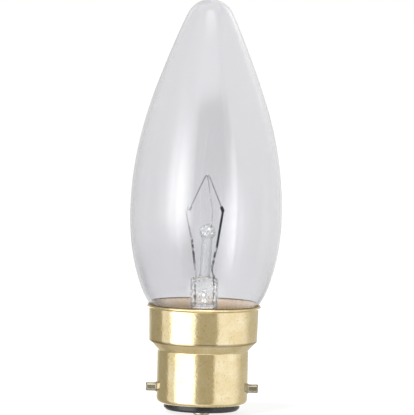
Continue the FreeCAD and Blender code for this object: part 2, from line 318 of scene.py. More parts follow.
def metal(name, colour, wearAndGlintColour, roughness, spread, waves, specks=0.0, lacquer=0.0,
          cloudSize=4 * mm, cloudEdge=(0.35, 0.65), stainAndPaintedLight="#5A4322", paintedLightBands=()):
    # the second colour comes in clouds, and the closer the two values of cloudEdge, the sharper they are:
    # it is wear on the cap and pins, and painted glints and painted dark reflections in short lengths on
    # the lead wires.
    # Each pair in waves is the height and size of an unevenness that bends the reflections, as rolled
    # or drawn metal does. specks is how much the small stains show. Each band is a height that takes the
    # colour given for stains and painted light, as painted shade or painted light, with its half width and
    # how strong it is
    material = newMaterial(name)
    place = addNode(material, "ShaderNodeTexCoord").outputs["Object"]
    clouds = addNode(material, "ShaderNodeTexNoise",
                     {"Vector": place, "Scale": 1 / cloudSize, "Detail": 6.0, "Roughness": 0.6})
    wearAndGlints = addNode(material, "ShaderNodeMapRange",
                   {"Value": clouds.outputs[0], "From Min": cloudEdge[0], "From Max": cloudEdge[1]})
    # the second colour is wear on the cap and pins, and painted glints and dark reflections on the lead
    # wires
    tone = addNode(material, "ShaderNodeMix", {
        "Factor": wearAndGlints.outputs[0], "A": linearColour(colour), "B": linearColour(wearAndGlintColour)},
        data_type="RGBA")
    grains = addNode(material, "ShaderNodeTexNoise",
                     {"Vector": place, "Scale": 1 / speckSize, "Detail": 3.0, "Roughness": 0.6})
    stainAndPaintShare = addNode(material, "ShaderNodeMapRange", {
        "Value": grains.outputs[0], "From Min": 0.56, "From Max": 0.72, "To Max": specks}).outputs[0]
    height = addNode(material, "ShaderNodeSeparateXYZ", {"Vector": place}).outputs["Z"]
    # each band paints shade or light at its height, in the colour given for stains and painted light
    for middle, half, strength in paintedLightBands:
        away = addNode(material, "ShaderNodeMath", {0: height, 1: middle}, operation="SUBTRACT").outputs[0]
        away = addNode(material, "ShaderNodeMath", {0: away}, operation="ABSOLUTE").outputs[0]
        band = addNode(material, "ShaderNodeMapRange", {
            "Value": away, "From Min": half, "From Max": half * 0.5, "To Max": strength}).outputs[0]
        stainAndPaintShare = addNode(material, "ShaderNodeMath", {0: stainAndPaintShare, 1: band},
                          operation="MAXIMUM").outputs[0]
    tone = addNode(material, "ShaderNodeMix", {
        "Factor": stainAndPaintShare, "A": tone.outputs["Result"], "B": linearColour(stainAndPaintedLight)}, data_type="RGBA")
    rough = addNode(material, "ShaderNodeMapRange", {
        "Value": clouds.outputs[0], "From Min": 0.3, "From Max": 0.7,
        "To Min": roughness - spread, "To Max": roughness + spread})
    normal = None
    for depth, size in waves:
        wave = addNode(material, "ShaderNodeTexNoise",
                       {"Vector": place, "Scale": 1 / size, "Detail": 3.0, "Roughness": 0.5})
        inputs = {"Height": wave.outputs[0], "Distance": depth}
        if normal:
            inputs["Normal"] = normal
        normal = addNode(material, "ShaderNodeBump", inputs).outputs[0]
    surface = addNode(material, "ShaderNodeBsdfPrincipled", {
        "Base Color": tone.outputs["Result"], "Metallic": 1.0, "Roughness": rough.outputs[0],
        "Normal": normal, "Coat Weight": lacquer, "Coat Roughness": 0.08, "Coat Normal": normal})
    addNode(material, "ShaderNodeOutputMaterial", {"Surface": surface.outputs[0]})
    return material


def matt(name, colour, otherColour, roughness, grain, grainHeight, specular, paintedShades=()):
    # baked or pressed surfaces: two tones in grains of that size, with a fine bump; each shade band given
    # is two heights between which a darker colour comes in as painted shade
    material = newMaterial(name)
    place = addNode(material, "ShaderNodeTexCoord").outputs["Object"]
    grains = addNode(material, "ShaderNodeTexNoise",
                     {"Vector": place, "Scale": 1 / grain, "Detail": 8.0, "Roughness": 0.65})
    tone = addNode(material, "ShaderNodeMix", {
        "Factor": grains.outputs[0], "A": linearColour(colour), "B": linearColour(otherColour)},
        data_type="RGBA")
    height = addNode(material, "ShaderNodeSeparateXYZ", {"Vector": place}).outputs["Z"]
    # painted shade: a darker colour that fades in between two heights
    for startZ, endZ, shadeColour in paintedShades:
        share = addNode(material, "ShaderNodeMapRange", {
            "Value": height, "From Min": startZ, "From Max": endZ})
        tone = addNode(material, "ShaderNodeMix", {
            "Factor": share.outputs[0], "A": tone.outputs["Result"], "B": linearColour(shadeColour)},
            data_type="RGBA")
    bump = addNode(material, "ShaderNodeBump", {"Height": grains.outputs[0], "Distance": grainHeight})
    surface = addNode(material, "ShaderNodeBsdfPrincipled", {
        "Base Color": tone.outputs["Result"], "Roughness": roughness,
        "Specular IOR Level": specular, "Normal": bump.outputs[0]})
    addNode(material, "ShaderNodeOutputMaterial", {"Surface": surface.outputs[0]})
    return material


# blown soda-lime glass: clear and faintly grey, and its reflections sway a little
bulbGlass = clearGlass("clearSodaLimeGlass", "#ECECEE", "#F1F1F3",
                       ripple=0.02 * mm, rippleSize=14 * mm, ior=1.6)
# the press and rod are worked in a flame, so they are lumpier and see light through more glass
stemGlass = clearGlass("workedStemGlass", "#FCFDFD", "#F2F4F4",
                       ripple=0.05 * mm, rippleSize=1.6 * mm, ior=1.5, clearness=0.9)
# rolled sheet, drawn and lacquered: soft wavy reflections and fine stains, with painted shade in two dark
# bands: at the rim's top, where it meets the glass, and in the crease under the collar
brass = metal("drawnLacqueredBrass", "#F3E4BE", "#E6D2A2", 0.15, 0.05,
              waves=((0.05 * mm, 3.6 * mm), (0.017 * mm, 0.9 * mm)), specks=0.26, lacquer=0.5,
              paintedLightBands=((26.35 * mm, 0.3 * mm, 0.9), (17.5 * mm, 0.4 * mm, 0.55)))
# turned from rod and left bare: it mirrors sharper than the cap, but is greyer and more stained
pinBrass = metal("turnedBrass", "#C4BEAC", "#9E9684", 0.08, 0.03,
                 waves=((0.02 * mm, 1.2 * mm),), specks=0.4)
# tungsten wire as drawn: grey and rather dull
tungsten = metal("drawnTungsten", "#A8A8AD", "#85858A", 0.35, 0.05,
                 waves=((0.002 * mm, 0.2 * mm),))
# drawn bright: so pale and thin that it hardly shows
supportWire = metal("brightDrawnWire", "#F2F2F0", "#E2E2E0", 0.3, 0.1,
                    waves=((0.02 * mm, 0.8 * mm),))
# nickel plate on iron, with painted glints and painted dark reflections in short lengths, and its upper
# part painted light as a reflection
glintPaintedNickelWire = metal("nickelPlatedIron", "#F4F4F5", "#86868A", 0.2, 0.06,
                   waves=((0.03 * mm, 1.2 * mm),), cloudSize=2.6 * mm, cloudEdge=(0.46, 0.54),
                   stainAndPaintedLight="#F0F0F2", paintedLightBands=((48.5 * mm, 6.5 * mm, 1.0),))
# the same wire with painted dark reflections and painted glints in shorter lengths, and its upper part
# painted dark as shade
shadePaintedNickelWire = metal("nickelIronWithPaintedShade", "#F2F2F4", "#4C4C4E", 0.2, 0.06,
                   waves=((0.03 * mm, 1.2 * mm),), cloudSize=1.7 * mm, cloudEdge=(0.43, 0.57),
                   stainAndPaintedLight="#3A3A3C", paintedLightBands=((45.6 * mm, 7.5 * mm, 1.0),))
# copper-sheathed wire with a borate skin: brown and dull
sealWire = metal("boratedSealWire", "#6E5A54", "#4A3F3C", 0.35, 0.05,
                 waves=((0.003 * mm, 0.4 * mm),))
# drawn copper with no plating: a warm pink
copperWire = metal("bareCopper", "#D99A77", "#B4744F", 0.25, 0.05,
                   waves=((0.003 * mm, 0.5 * mm),))
# tin solder pressed flat while soft: pale grey, satin and uneven
solderTin = metal("flattenedTinSolder", "#C2C2C0", "#A0A09E", 0.4, 0.06,
                  waves=((0.03 * mm, 0.7 * mm),), specks=0.2)
# resin cement baked in the cap: dry and tan, with painted shade: darker lower down in the gap, and a dark
# line at its top where the glass meets the rim
cement = matt("bakedCappingCement", "#F0DDC6", "#CFB08A", 0.85,
              grain=1.1 * mm, grainHeight=0.08 * mm, specular=0.3,
              paintedShades=((25.6 * mm, 24.2 * mm, "#A88C5E"), (26.1 * mm, 26.3 * mm, "#7A6038")))
# pressed glass, black through and through: glossy and a little uneven
blackGlass = matt("pressedBlackGlass", "#060607", "#2C2C30", 0.16,
                  grain=1.6 * mm, grainHeight=0.08 * mm, specular=0.6)
print("materials ready")


# Glass envelope

envelope = {
    "wall": 0.6 * mm,
    "tipRound": 5.95 * mm,
    "tipArc": 64 * degree,
    "bellyZ": 48.1 * mm,
    "rimRadius": 13.03 * mm,
    "rimZ": 26.2 * mm,
    # above the belly: shares of the way up to the tip, and of the belly's radius
    "flame": ((0.732, 0.539), (0.507, 0.770), (0.282, 0.929)),
    # below it: shares of the way down to the cap's rim, and of the narrowing
    "waist": ((0.265, 0.050), (0.525, 0.218), (0.721, 0.442), (0.854, 0.650)),
    "neckRadius": 10.5 * mm,
    "neckZ": 20.8 * mm,
    "sealRound": 1.5 * mm,
    "sealRadius": 8.6 * mm,
    "lineSteps": 9,
    "spinSteps": 144,
}


def envelopeOutline(spec):
    # outside of the glass, from the tip down to the seal
    tip = []
    arcSteps = spec["lineSteps"] * 2
    for step in range(arcSteps + 1):
        angle = spec["tipArc"] * step / arcSteps
        tip.append(at(spec["tipRound"] * math.sin(angle),
                      tipZ - spec["tipRound"] * (1 - math.cos(angle))))
    stations = [tip.pop()]
    for rise, share in spec["flame"]:
        stations.append(at(bellyRadius * share, spec["bellyZ"] + (tipZ - spec["bellyZ"]) * rise))
    stations.append(at(bellyRadius, spec["bellyZ"]))
    for drop, narrowing in spec["waist"]:
        stations.append(at(bellyRadius - (bellyRadius - spec["rimRadius"]) * narrowing,
                           spec["bellyZ"] - (spec["bellyZ"] - spec["rimZ"]) * drop))
    stations.append(at(spec["rimRadius"], spec["rimZ"]))
    stations.append(at(spec["neckRadius"], spec["neckZ"]))
    leaving = at(math.cos(spec["tipArc"]), -math.sin(spec["tipArc"]))
    flame = smoothOutline(stations, leaving, at(0, -1), spec["lineSteps"])
    foot = roundedOutline([flame[-1], at(spec["neckRadius"], sealZ), at(spec["sealRadius"], sealZ)],
                          [spec["sealRound"]])
    return tip + flame + foot[1:]


def makeEnvelope(spec):
    outer = envelopeOutline(spec)
    inner = offsetOutline(outer, -spec["wall"])
    inner[0] = at(0, tipZ - spec["wall"])
    inner[-1] = at(spec["sealRadius"], sealZ + spec["wall"])
    piece = turnedPiece("glassEnvelope", outer + inner[::-1], spec["spinSteps"], closed=False)
    # the wall is open at its seal, where its two rims are joined
    rimReach = spec["sealRadius"] + 10 * hair
    selectVertices(piece, lambda co: co.xy.length < rimReach and co.z < spec["neckZ"])
    bpy.ops.mesh.bridge_edge_loops()
    bpy.ops.mesh.select_all(action="SELECT")
    bpy.ops.mesh.normals_make_consistent(inside=False)
    bpy.ops.object.mode_set(mode="OBJECT")
    smoothShade(piece, angle=60)
    dress(piece, bulbGlass, ["glass_bulb"])


makeEnvelope(envelope)
print("glass envelope ready")


# Brass cap: shell with its lip, shoulder, collar and flared rim

capShell = {
    "lipRadius": 9.1 * mm,
    "lipRound": 1.3 * mm,
    "shellRadius": 10.9 * mm,
    "shoulderBottom": 15.25 * mm,
    "shoulderRound": 0.8 * mm,
    "collarRadius": 12.95 * mm,
    "collarBottom": 17.45 * mm,
    "collarTaper": 0.2 * mm,
    "rimBottom": 25.8 * mm,
    "rimTop": 26.35 * mm,
    "rimFlare": 0.6 * mm,
    "rimRound": 0.2 * mm,
    "beadDrop": 0.4 * mm,
    "beadRound": 0.12 * mm,
    "beadTop": 0.3,  # share of the flare that is left at the rim's top
    "sheet": 0.3 * mm,
    "spinSteps": 128,
}


def makeShell(spec):
    collarTop = spec["collarRadius"] + spec["collarTaper"]
    outer = roundedOutline([
        at(spec["lipRadius"], lipZ),
        at(spec["shellRadius"], lipZ),
        at(spec["shellRadius"], spec["shoulderBottom"]),
        at(spec["collarRadius"], spec["collarBottom"]),
        at(collarTop, spec["rimBottom"] - spec["beadDrop"]),
        at(collarTop + spec["rimFlare"], spec["rimBottom"]),
        at(collarTop + spec["beadTop"] * spec["rimFlare"], spec["rimTop"]),
    ], [spec["lipRound"], spec["shoulderRound"], spec["shoulderRound"], spec["rimRound"],
        spec["beadRound"]])
    inner = offsetOutline(outer, spec["sheet"])
    piece = turnedPiece("brassShell", outer + inner[::-1], spec["spinSteps"])
    smoothShade(piece, angle=35)
    dress(piece, brass, ["cap_shell"])


makeShell(capShell)
print("cap shell ready")


# Black glass insulator

insulator = {
    "bottom": 0.9 * mm,
    "faceRadius": 8.6 * mm,
    "bevel": 0.6 * mm,
    "edgeRound": 0.4 * mm,
    "lipRadius": 9.1 * mm,
    "top": 4.3 * mm,
}


def makeInsulator(spec):
    outline = roundedOutline([
        at(0, spec["bottom"]),
        at(spec["faceRadius"], spec["bottom"]),
        at(spec["lipRadius"], spec["bottom"] + spec["bevel"]),
        at(spec["lipRadius"], spec["top"]),
        at(0, spec["top"]),
    ], [spec["edgeRound"]] * 3)
    piece = turnedPiece("blackInsulator", outline, closed=False)
    smoothShade(piece, angle=35)
    dress(piece, blackGlass, ["cap_insulator"])


makeInsulator(insulator)
print("insulator ready")


# Coiled filament: one wire wound in a helix along an inverted V

filament = {
    "coilRadius": 0.2 * mm,
    "wireRadius": 0.03 * mm,
    "pitch": 0.17 * mm,
    "peak": Vector((0.13, 0, 58.0)) * mm,
    "peakRound": 0.6 * mm,
    "peakSteps": 12,
    "leftClamp": Vector((-3.75, 0, 49.3)) * mm,
    "rightClamp": Vector((3.85, 0, 49.1)) * mm,
    "tail": 0.5 * mm,
    "pointsPerTurn": 12,
}


def makeFilament(spec):
    leftWay = (spec["leftClamp"] - spec["peak"]).normalized()
    rightWay = (spec["rightClamp"] - spec["peak"]).normalized()
    corners = [spec["leftClamp"] + leftWay * spec["tail"], spec["peak"],
               spec["rightClamp"] + rightWay * spec["tail"]]
    axis = roundedOutline(corners, [spec["peakRound"]], spec["peakSteps"])
    lengths = [0]
    for one, two in zip(axis, axis[1:]):
        lengths.append(lengths[-1] + (two - one).length)
    turns = lengths[-1] / spec["pitch"]
    count = int(turns * spec["pointsPerTurn"])
    deselectAll()
    curve = bpy.data.curves.new("filamentWire", "CURVE")
    curve.dimensions = "3D"
    spline = curve.splines.new("POLY")
    spline.points.add(count)
    run = 0
    across = Vector((0, 1, 0))
    for i in range(count + 1):
        gone = lengths[-1] * i / count
        while run < len(axis) - 2 and gone > lengths[run + 1]:
            run += 1
        way = (axis[run + 1] - axis[run]).normalized()
        share = (gone - lengths[run]) / (lengths[run + 1] - lengths[run])
        centre = axis[run].lerp(axis[run + 1], share)
        side = way.cross(across)
        angle = math.tau * turns * i / count
        place = centre + (across * math.cos(angle) + side * math.sin(angle)) * (
            spec["coilRadius"] - spec["wireRadius"])
        spline.points[i].co = (*place, 1)
    curve.bevel_depth = spec["wireRadius"]
    curve.bevel_resolution = 1
    curve.use_fill_caps = True
    piece = bpy.data.objects.new("coiledFilament", curve)
    bpy.context.scene.collection.objects.link(piece)
    selectOnly(piece)
    bpy.ops.object.convert(target="MESH")
    piece = bpy.context.object
    smoothShade(piece, angle=60)
    dress(piece, tungsten, ["filament"])


makeFilament(filament)
print("filament ready")


# Glass mount: flare, press and rod, fused into one piece of glass, with the button at its top

mount = {
    "sealRadius": 8.6 * mm,
    "wall": 0.6 * mm,
    "tubeRadius": 3.3 * mm,
    "flareRound": 4.4 * mm,
    "pressBottom": 24.4 * mm,
    "pinchEnd": 26.6 * mm,
    "pressHalf": 1.6 * mm,
    "pressRound": 0.7 * mm,
    "pressMargin": 0.1 * mm,
    "boreEnd": 24.9 * mm,
    "boreRound": 1.2 * mm,
    "holeRadius": 0.6 * mm,
    "holeEdge": 0.4 * mm,
    "holeRound": 0.48 * mm,
    "holeTop": 29.8 * mm,
    "rodRadius": 1.3 * mm,
    "rodFoot": 0.6 * mm,
    "rodLean": 2.6 * degree,
    "leanFrom": 0.2 * mm,  # above the press's top
    "buttonZ": 43.6 * mm,
    "buttonRadius": 1.9 * mm,
    "buttonFlat": 0.97,
    "buttonSteps": 16,
    "ringStep": 0.4 * mm,
    "spinSteps": 72,
    "lumpSize": 0.45 * mm,
    "lumpDepth": 0.38 * mm,
    # how much of the lumps shows on the button and on the rod, and how far up the press they take to come
    "buttonLumps": 0.9,
    "rodLumps": 0.12,
    "lumpsCome": 1.0 * mm,
    # gas bubbles: place and radius in millimetres
    "bubbles": (
        (0.05, -1.08, 29.4, 0.42), (-2.35, -0.2, 31.3, 0.32), (-1.2, 0.5, 30.6, 0.2),
        (1.1, -0.4, 28.2, 0.24), (-0.9, -0.6, 27.6, 0.3), (1.6, 0.3, 30.2, 0.16),
        (-1.6, 0.2, 28.6, 0.22), (0.6, 0.5, 31.4, 0.2), (2.5, 0.0, 27.2, 0.2),
        (0.0, -0.6, 43.2, 0.42), (0.95, -0.5, 44.1, 0.4), (0.3, 0.3, 44.5, 0.3),
        (-0.5, -0.4, 44.2, 0.25), (1.35, -0.5, 43.3, 0.28), (0.7, -1.15, 43.0, 0.24),
        (0.4, -1.1, 44.0, 0.2), (-0.6, -0.7, 43.4, 0.2),
    ),
    "bubbleSlim": 0.85,
    "bubbleTall": 1.2,
    # and small ones all through the press, drawn by chance
    "seeds": 90,
    "seedDraw": 4,
    "seedRadius": (0.07, 0.2),
    "seedBox": ((-2.9, -1.0, 25.4), (2.9, 1.0, 32.0)),
}


def mountOutline(spec):
    # from the exhaust hole's end down the bore to the flare's rim, then outside up to the button's top
    ballStart = -math.acos(spec["rodRadius"] / spec["buttonRadius"])
    outer = roundedOutline([
        at(spec["sealRadius"], sealZ + spec["wall"]),
        at(spec["tubeRadius"], sealZ + spec["wall"]),
        at(spec["tubeRadius"], pressTop),
        at(spec["rodRadius"], pressTop),
        at(spec["rodRadius"], spec["buttonZ"] + math.sin(ballStart) * spec["buttonRadius"]),
    ], [spec["flareRound"], spec["pressRound"], spec["rodFoot"]])
    for step in range(1, spec["buttonSteps"] + 1):
        angle = ballStart + (math.pi / 2 - ballStart) * step / spec["buttonSteps"]
        outer.append(at(spec["buttonRadius"] * math.cos(angle),
                        spec["buttonZ"] + spec["buttonRadius"] * spec["buttonFlat"] * math.sin(angle)))
    boreRadius = spec["tubeRadius"] - spec["wall"]
    inner = roundedOutline([
        at(spec["sealRadius"], sealZ),
        at(boreRadius, sealZ),
        at(boreRadius, spec["boreEnd"]),
        at(spec["holeRadius"], spec["boreEnd"]),
        at(spec["holeRadius"], spec["holeTop"]),
        at(0, spec["holeTop"]),
    ], [spec["flareRound"] + spec["wall"], spec["boreRound"], spec["holeEdge"], spec["holeRound"]])
    return dividedOutline(inner[::-1] + outer, spec["ringStep"])


def flattenBand(piece, low, high, half):
    for side in (-1, 1):
        selectVertices(piece, lambda co: low <= co.z <= high and co.y * side > half)
        bpy.ops.transform.resize(value=(1, 0, 1), center_override=(0, side * half, 0))


def pinchPress(piece, spec):
    # the rings flatten between two jaws, more and more up to the pinch's end
    heights = sorted({round(v.co.z, 7) for v in piece.data.vertices
                      if spec["pressBottom"] < v.co.z < spec["pinchEnd"]})
    for z in heights:
        share = (z - spec["pressBottom"]) / (spec["pinchEnd"] - spec["pressBottom"])
        ease = share * share * (3 - 2 * share)
        half = spec["tubeRadius"] + (spec["pressHalf"] - spec["tubeRadius"]) * ease
        flattenBand(piece, z - hair, z + hair, half)
    flattenBand(piece, spec["pinchEnd"], pressTop + spec["pressMargin"], spec["pressHalf"])


def bubblePlaces(spec):
    # the seeds keep clear of the exhaust hole, of the bubbles and of each other
    bubbles = [(Vector(place) * mm, radius * mm) for *place, radius in spec["bubbles"]]
    wanted = len(bubbles) + spec["seeds"]
    draw = random.Random(spec["seedDraw"])
    low, high = spec["seedBox"]
    while len(bubbles) < wanted:
        place = Vector([draw.uniform(a, b) for a, b in zip(low, high)]) * mm
        radius = draw.uniform(*spec["seedRadius"]) * mm
        inHole = place.xy.length < spec["holeRadius"] + radius and place.z < spec["holeTop"] + radius
        crowded = any((place - other).length < (radius + size) * spec["bubbleTall"]
                      for other, size in bubbles)
        if not inHole and not crowded:
            bubbles.append((place, radius))
    return bubbles


def addBubble(piece, place, radius, spec):
    # a hollow in the glass, so its faces point inwards
    deselectAll()
    bpy.ops.mesh.primitive_ico_sphere_add(subdivisions=2, radius=radius, location=place)
    bubble = bpy.context.object
    bpy.ops.object.mode_set(mode="EDIT")
    bpy.ops.transform.resize(value=(spec["bubbleSlim"], spec["bubbleSlim"], spec["bubbleTall"]))
    bpy.ops.mesh.flip_normals()
    bpy.ops.object.mode_set(mode="OBJECT")
    settle(bubble)
    piece.select_set(True)
    bpy.context.view_layer.objects.active = piece
    bpy.ops.object.join()


def makeMount(spec):
    piece = turnedPiece("glassMount", mountOutline(spec), spec["spinSteps"], closed=False)
    pinchPress(piece, spec)
    selectVertices(piece, lambda co: co.z > pressTop + spec["leanFrom"])
    bpy.ops.transform.rotate(value=-spec["rodLean"], orient_axis="Y", center_override=(0, 0, pressTop))
    bpy.ops.object.mode_set(mode="OBJECT")
    applyModifier(piece, "soften", "SUBSURF", levels=1, render_levels=1)

    def workedAt(co):
        if co.z > spec["buttonZ"] - spec["buttonRadius"]:
            return spec["buttonLumps"]
        if co.z > pressTop:
            return spec["rodLumps"]
        return min(1, max(0, (co.z - spec["pressBottom"]) / spec["lumpsCome"]))

    lumpy(piece, spec["lumpSize"], spec["lumpDepth"], workedAt)
    for place, radius in bubblePlaces(spec):
        addBubble(piece, place, radius, spec)
    smoothShade(piece, angle=60)
    dress(piece, stemGlass, ["stem_flare", "glass_rod"])


makeMount(mount)
print("glass mount ready")


# Cement between the glass and the collar, with an uneven top where it was pushed up

cementFill = {
    "bottom": 18.8 * mm,
    "top": 26.48 * mm,
    "lipFrom": 25.7 * mm,  # above this it is a thin lip on the glass
    "lip": 0.15 * mm,
    "tilt": 1.0 * degree,  # it was pushed up a little more at the front
    "wallTop": 25.2 * mm,
    "wallGap": 0.02 * mm,
    "wallTaper": 0.8,  # share of the collar's taper at the wall's top
    "lineStep": 0.8 * mm,
    "spinSteps": 160,
    "lumpFrom": 26.0 * mm,
    "lumpSize": 2.2 * mm,
    "lumpDepth": 0.3 * mm,
}


def makeCement(spec):
    gap = spec["wallGap"]
    glassSide = [at(p.x + gap, p.z) for p in envelopeOutline(envelope)
                 if spec["bottom"] < p.z < spec["top"]]
    wall = capShell["collarRadius"] - capShell["sheet"] - gap
    lip = [at(p.x + spec["lip"], p.z) for p in glassSide if p.z > spec["lipFrom"]]
    outline = lip[::-1] + glassSide + [
        at(glassSide[-1].x, spec["bottom"]),
        at(wall, spec["bottom"]),
        at(wall + capShell["collarTaper"] * spec["wallTaper"], spec["wallTop"]),
    ]
    piece = turnedPiece("cementRing", dividedOutline(outline, spec["lineStep"]), spec["spinSteps"])
    selectVertices(piece, lambda co: co.z > spec["lipFrom"])
    bpy.ops.transform.rotate(value=spec["tilt"], orient_axis="X", center_override=(0, 0, spec["top"]))
    bpy.ops.object.mode_set(mode="OBJECT")
    lumpy(piece, spec["lumpSize"], spec["lumpDepth"],
          lambda co: 1.0 if co.z > spec["lumpFrom"] else 0.0, "Z")
    smoothShade(piece, angle=50)
    dress(piece, cement, ["cement_ring"])


makeCement(cementFill)
print("cement ready")


# Bayonet pins, turned in one with a foot outside the shell and a riveted head inside it

bayonetPin = {
    "z": 6.2 * mm,
    "radius": 1.1 * mm,
    "reach": 13.4 * mm,
    "chamfer": 0.25 * mm,
    "tipRound": 0.08 * mm,
    "footRadius": 1.3 * mm,
    "footHeight": 0.2 * mm,
    "footRim": 0.02 * mm,
    "footSink": 0.05 * mm,
    "footRound": 0.1 * mm,
    "tenonRadius": 0.9 * mm,
    "tenonRound": 0.03 * mm,
    "headRadius": 1.65 * mm,
    "headHeight": 0.5 * mm,
    "headGap": 0.12 * mm,  # a flat head can't lie close on the round shell
    "headRounds": (0.2 * mm, 0.1 * mm),
    "arcSteps": 3,
    "spinSteps": 48,
}


def makePin(spec, side, name, replaced):
    surface = capShell["shellRadius"]
    inside = surface - capShell["sheet"]
    outline = roundedOutline([
        at(0, inside - spec["headHeight"]),
        at(spec["headRadius"], inside - spec["headHeight"]),
        at(spec["headRadius"], inside - spec["headGap"]),
        at(spec["tenonRadius"], inside - spec["headGap"]),
        at(spec["tenonRadius"], surface - spec["footSink"]),
        at(spec["footRadius"], surface - spec["footSink"]),
        at(spec["footRadius"], surface + spec["footRim"]),
        at(spec["radius"], surface + spec["footHeight"]),
        at(spec["radius"], spec["reach"] - spec["chamfer"]),
        at(spec["radius"] - spec["chamfer"], spec["reach"]),
        at(0, spec["reach"]),
    ], [*spec["headRounds"], *[spec["tenonRound"]] * 4, spec["footRound"], *[spec["tipRound"]] * 2],
        spec["arcSteps"])
    piece = turnedPiece(name, outline, spec["spinSteps"], closed=False)
    piece.rotation_euler = (0, side * math.pi / 2, 0)
    piece.location = (0, 0, spec["z"])
    settle(piece)
    smoothShade(piece, angle=35)
    dress(piece, pinBrass, [replaced])


makePin(bayonetPin, -1, "pinLeft", "bayonet_pin_left")
makePin(bayonetPin, 1, "pinRight", "bayonet_pin_right")
print("pins ready")


# Solder contacts: a flattened dome of tin with a rippled edge, on a plug in its hole

contact = {
    "pitch": 8.2 * mm,
    "flatRadius": 1.5 * mm,
    "flatRound": 0.25 * mm,
    "edgeRadius": 1.9 * mm,
    "edgeZ": 0.65 * mm,
    "edgeRound": 0.15 * mm,
    "plugRadius": 0.9 * mm,
    "plugTop": 1.65 * mm,
    "plugRound": 0.05 * mm,
    "arcSteps": 4,
    "lineStep": 0.3 * mm,
    "spinSteps": 48,
    "lumpFrom": 0.1 * mm,
    "lumpTo": 0.6 * mm,
    "lumpSize": 0.8 * mm,
    "lumpDepth": 0.16 * mm,
}


def makeContact(spec, side, name, replaced):
    outline = roundedOutline([
        at(0, 0),
        at(spec["flatRadius"], 0),
        at(spec["edgeRadius"], spec["edgeZ"] / 2),
        at(spec["edgeRadius"], spec["edgeZ"]),
        at(spec["plugRadius"], spec["edgeZ"]),
        at(spec["plugRadius"], spec["plugTop"]),
        at(0, spec["plugTop"]),
    ], [spec["flatRound"], spec["edgeRound"], *[spec["plugRound"]] * 3], spec["arcSteps"])
    piece = turnedPiece(name, dividedOutline(outline, spec["lineStep"]), spec["spinSteps"], closed=False)
    piece.location = (0, side * spec["pitch"] / 2, 0)
    settle(piece)
    lumpy(piece, spec["lumpSize"], spec["lumpDepth"],
          lambda co: 1.0 if spec["lumpFrom"] < co.z < spec["lumpTo"] else 0.0)
    smoothShade(piece, angle=40)
    dress(piece, solderTin, [replaced])


makeContact(contact, -1, "solderFront", "contact_solder_front")
makeContact(contact, 1, "solderBack", "contact_solder_back")
print("contacts ready")


# Pieces that keep their solid from the frame

for name, material in {
    "filament_support": supportWire, "inner_lead_left": glintPaintedNickelWire, "inner_lead_right": shadePaintedNickelWire,
    "seal_wire_left": sealWire, "seal_wire_right": sealWire,
    "outer_lead_left": copperWire, "outer_lead_right": copperWire,
    "contact_plate_front": brass, "contact_plate_back": brass, "exhaust_tube": stemGlass,
}.items():
    dressNode(name, material)
print("frame pieces dressed")


# Floor

floor = {
    "side": 12.0,
    "colour": "#F4F4F4",
    "glow": 0.8,  # how much of the floor's white comes from its own light, so its shadow stays faint
    "glowLevel": 1.05,
}


def makeFloor(spec):
    deselectAll()
    bpy.ops.mesh.primitive_plane_add(size=spec["side"])
    piece = bpy.context.object
    piece.name = "studioFloor"
    material = newMaterial("matWhiteSweep")
    path = addNode(material, "ShaderNodeLightPath")
    shown = addNode(material, "ShaderNodeMath", {
        0: path.outputs["Is Camera Ray"], 1: spec["glow"]}, operation="MULTIPLY").outputs[0]
    paint = addNode(material, "ShaderNodeBsdfDiffuse", {"Color": linearColour(spec["colour"])})
    glow = addNode(material, "ShaderNodeEmission", {"Color": grey(1), "Strength": spec["glowLevel"]})
    mixed = addNode(material, "ShaderNodeMixShader", {0: shown, 1: paint.outputs[0], 2: glow.outputs[0]})
    addNode(material, "ShaderNodeOutputMaterial", {"Surface": mixed.outputs[0]})
    piece.data.materials.append(material)
    # metal and glass see the studio's panels down to the foot, in place of the floor
    piece.visible_glossy = False
    piece.visible_transmission = False


makeFloor(floor)
print("floor ready")


# Studio: white behind, a softbox on the left, a strip and a flat panel on the right, dark round the camera

